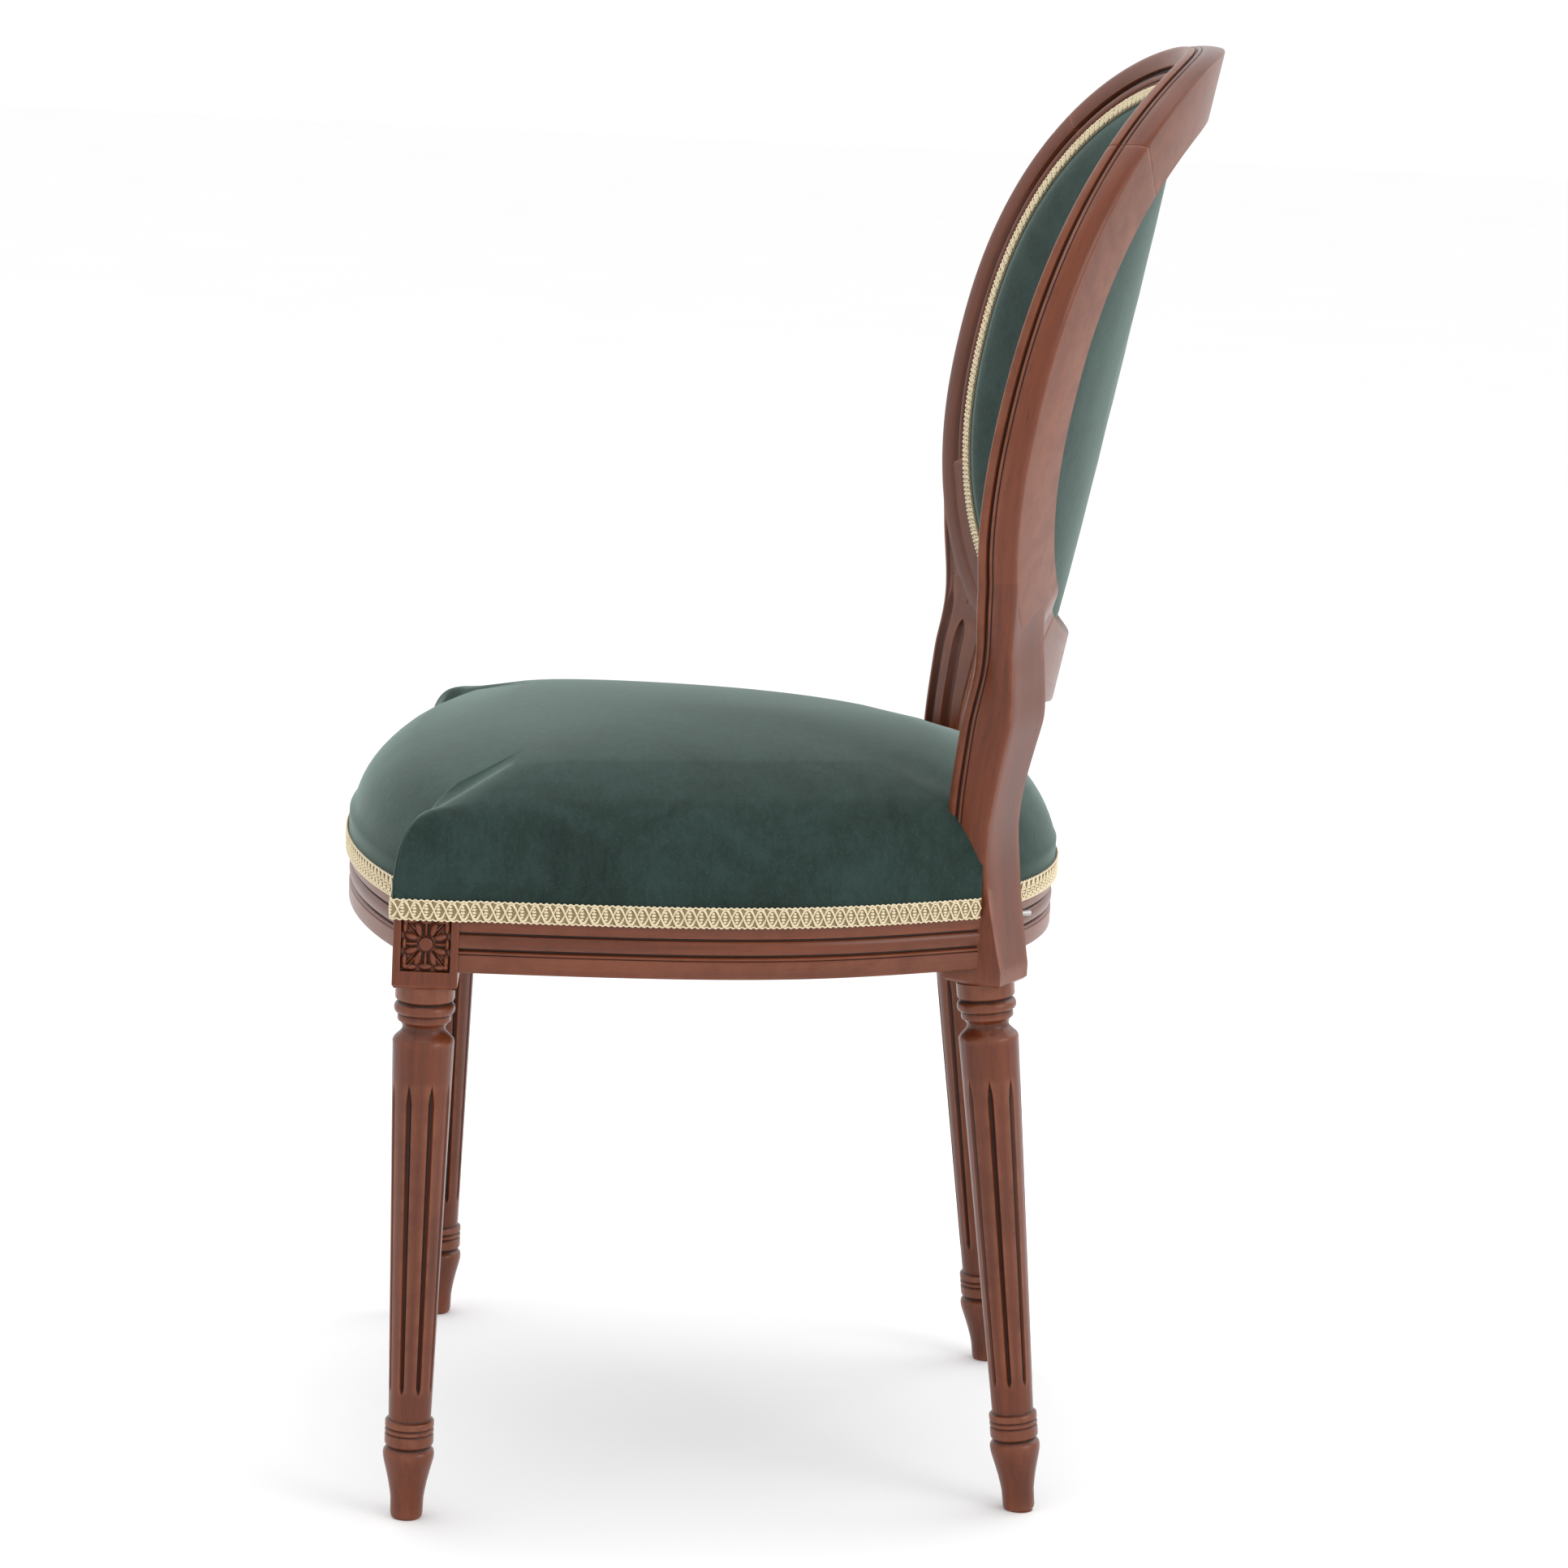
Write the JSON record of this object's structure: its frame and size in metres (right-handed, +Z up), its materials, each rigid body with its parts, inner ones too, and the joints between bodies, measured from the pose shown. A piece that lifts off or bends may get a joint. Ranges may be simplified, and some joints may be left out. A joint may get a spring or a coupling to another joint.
{
  "type": "dining chair",
  "caption": "Upholstered side chair with a curved oval back, bowed seat rails and turned, fluted, tapering legs.",
  "frame": {"origin": "middle of the chair's footprint, on the floor", "axes": "+Z up, -Y towards the front of the seat, +X towards the sitter's left"},
  "size_m": [0.517, 0.5801, 0.9915],
  "materials": {
    "stained_wood": "satin",
    "raw_beech": "matte",
    "velvet": "velvet pile",
    "gimp_braid": "woven braid",
    "foam": "open-cell foam",
    "webbing": "woven jute",
    "hessian": "woven jute",
    "black_cambric": "woven lining",
    "screw_steel": "zinc plated"
  },
  "bodies": {
    "root": {"front_leg_left": "stained_wood", "front_leg_right": "stained_wood", "rear_leg_left": "stained_wood", "rear_leg_right": "stained_wood", "crest_rail": "stained_wood", "lower_back_rail": "stained_wood", "front_rail": "stained_wood", "rear_rail": "stained_wood", "side_rail_left": "stained_wood", "side_rail_right": "stained_wood", "corner_block_front_left": "raw_beech", "corner_block_front_right": "raw_beech", "corner_block_rear_left": "raw_beech", "corner_block_rear_right": "raw_beech", "corner_block_screws": "screw_steel", "seat_rail_dowels": "raw_beech", "back_frame_dowels": "raw_beech", "seat_webbing_front_to_back": "webbing", "seat_webbing_side_to_side": "webbing", "seat_hessian": "hessian", "seat_foam": "foam", "seat_cover": "velvet", "seat_gimp_front": "gimp_braid", "seat_gimp_rear": "gimp_braid", "dust_cover": "black_cambric", "back_cover_outer": "velvet", "back_webbing_upright": "webbing", "back_webbing_level": "webbing", "back_hessian": "hessian", "back_foam": "foam", "back_cover_inner": "velvet", "back_gimp": "gimp_braid"}
  },
  "joints": []
}
